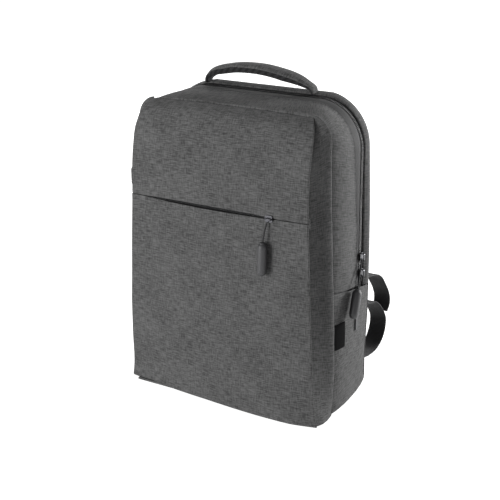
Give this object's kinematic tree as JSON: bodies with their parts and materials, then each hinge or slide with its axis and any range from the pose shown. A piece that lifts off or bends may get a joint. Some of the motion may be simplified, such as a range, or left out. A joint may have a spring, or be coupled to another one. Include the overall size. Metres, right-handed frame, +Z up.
{
  "type": "laptop backpack",
  "caption": "Soft laptop backpack with a zipped fold-forward cover, a zipped front pocket, a padded carry handle and two adjustable shoulder straps.",
  "frame": {"origin": "middle of the base between the front pocket and the back, on the surface that the bag stands on", "axes": "+Z up, +Y towards the wearer's back, +X to the right seen from the front"},
  "size_m": [0.3155, 0.2624, 0.4354],
  "materials": {
    "melange_cloth": "grey two-tone woven polyester with fine horizontal slubs",
    "lining_cloth": "thin black plain-weave lining",
    "stiffener_board": "plain extruded sheet",
    "air_mesh": "black spacer mesh over foam",
    "black_webbing": "black ribbed polypropylene webbing",
    "zipper_tape": "black woven tape",
    "zipper_coil": "black nylon coil",
    "slider_metal": "dark plated die-cast zinc",
    "pull_rubber": "matte moulded rubber",
    "pull_cord": "black braided cord",
    "moulded_plastic": "fine-textured black acetal",
    "label_cloth": "blank black woven label"
  },
  "bodies": {
    "bag": {"lower_gusset": "melange_cloth", "lower_lining": "lining_cloth", "rear_gusset": "melange_cloth", "rear_lining": "lining_cloth", "back_lining": "lining_cloth", "base_board": "stiffener_board", "back_panel": "air_mesh", "back_padding": "air_mesh", "strap_yoke": "black_webbing", "laptop_sleeve": "lining_cloth", "front_panel_lower": "melange_cloth", "pocket_gusset_lower_left": "melange_cloth", "pocket_gusset_lower_right": "melange_cloth", "pocket_floor": "melange_cloth", "pocket_divider_lower": "lining_cloth", "fold_cloth": "melange_cloth", "zipper_coil_rear": "zipper_coil", "zipper_tape_rear": "zipper_tape", "zipper_stops": "zipper_coil", "lower_tab_left": "black_webbing", "lower_tab_right": "black_webbing", "side_label": "label_cloth"},
    "front_cover": {"cover_gusset": "melange_cloth", "cover_lining": "lining_cloth", "front_panel_upper": "melange_cloth", "front_panel_middle": "melange_cloth", "pocket_gusset_left": "melange_cloth", "pocket_gusset_right": "melange_cloth", "pocket_divider": "lining_cloth", "pocket_zipper_coil": "zipper_coil", "pocket_zipper_tape": "zipper_tape", "zipper_coil_front": "zipper_coil", "zipper_tape_front": "zipper_tape", "outlet_housing": "moulded_plastic", "outlet_shell": "slider_metal", "outlet_tongue": "moulded_plastic"},
    "slider_upper": {"main_slider_upper": "slider_metal"},
    "slider_lower": {"main_slider_lower": "slider_metal"},
    "slider_pocket": {"pocket_slider": "slider_metal"},
    "pull_upper": {"main_pull_cord_upper": "pull_cord", "main_pull_tube_upper": "pull_rubber"},
    "pull_lower": {"main_pull_cord_lower": "pull_cord", "main_pull_tab_lower": "pull_rubber"},
    "pull_pocket": {"pocket_pull_cord": "pull_cord", "pocket_pull_tube": "pull_rubber"},
    "handle": {"handle_grip": "melange_cloth", "handle_underside": "black_webbing"},
    "strap_left": {"shoulder_strap_left": "air_mesh", "strap_loop_left": "black_webbing", "strap_webbing_left": "black_webbing", "webbing_tail_left": "black_webbing"},
    "strap_right": {"shoulder_strap_right": "air_mesh", "strap_loop_right": "black_webbing", "strap_webbing_right": "black_webbing", "webbing_tail_right": "black_webbing"},
    "buckle_left": {"ladder_buckle_left": "moulded_plastic"},
    "buckle_right": {"ladder_buckle_right": "moulded_plastic"},
    "laptop_strap": {"sleeve_strap": "lining_cloth"},
    "outlet_cover": {"outlet_flap": "pull_rubber"}
  },
  "joints": [
    {"name": "cover_fold", "type": "hinge", "parent": "bag", "child": "front_cover", "pos_m": [0, -0.008, 0.157], "axis": [1, 0, 0], "range_deg": [0, 30], "deforming": ["fold_cloth"]},
    {"name": "slider_upper_slide", "type": "slide", "parent": "bag", "child": "slider_upper", "axis": [0, 0, 1], "range_m": [0, 0.125]},
    {"name": "slider_lower_slide", "type": "slide", "parent": "bag", "child": "slider_lower", "axis": [0, 0, 1], "range_m": [-0.012, 0]},
    {"name": "slider_pocket_slide", "type": "slide", "parent": "front_cover", "child": "slider_pocket", "axis": [1, 0, 0], "range_m": [-0.183, 0]},
    {"name": "pull_upper_swing", "type": "hinge", "parent": "slider_upper", "child": "pull_upper", "pos_m": [0.1522, 0.041, 0.2], "axis": [0, -1, 0], "range_deg": [0, 110]},
    {"name": "pull_lower_swing", "type": "hinge", "parent": "slider_lower", "child": "pull_lower", "pos_m": [0.1522, 0.041, 0.178], "axis": [0, -1, 0], "range_deg": [0, 100]},
    {"name": "pull_pocket_swing", "type": "hinge", "parent": "slider_pocket", "child": "pull_pocket", "pos_m": [0.079, -0.0764, 0.2705], "axis": [-1, 0, 0], "range_deg": [0, 110]},
    {"name": "handle_tilt", "type": "hinge", "parent": "bag", "child": "handle", "pos_m": [-0.009, 0.05, 0.4154], "axis": [1, 0, 0], "range_deg": [-30, 30], "stiffness_Nm_per_rad": 0.05},
    {"name": "strap_left_swing", "type": "hinge", "parent": "bag", "child": "strap_left", "pos_m": [-0.068, 0.0708, 0.374], "axis": [1, 0, 0], "range_deg": [0, 35]},
    {"name": "strap_right_swing", "type": "hinge", "parent": "bag", "child": "strap_right", "pos_m": [0.068, 0.0708, 0.374], "axis": [1, 0, 0], "range_deg": [0, 35]},
    {"name": "buckle_left_tilt", "type": "hinge", "parent": "strap_left", "child": "buckle_left", "pos_m": [-0.117, 0.084, 0.1614], "axis": [1, 0, 0], "range_deg": [0, 20]},
    {"name": "buckle_right_tilt", "type": "hinge", "parent": "strap_right", "child": "buckle_right", "pos_m": [0.117, 0.084, 0.1614], "axis": [1, 0, 0], "range_deg": [0, 20]},
    {"name": "laptop_strap_lift", "type": "hinge", "parent": "bag", "child": "laptop_strap", "pos_m": [0, 0.0595, 0.2865], "axis": [-1, 0, 0], "range_deg": [0, 90]},
    {"name": "outlet_cover_lift", "type": "hinge", "parent": "front_cover", "child": "outlet_cover", "pos_m": [-0.1468, -0.047, 0.3018], "axis": [0, 1, 0], "range_deg": [0, 110]}
  ]
}
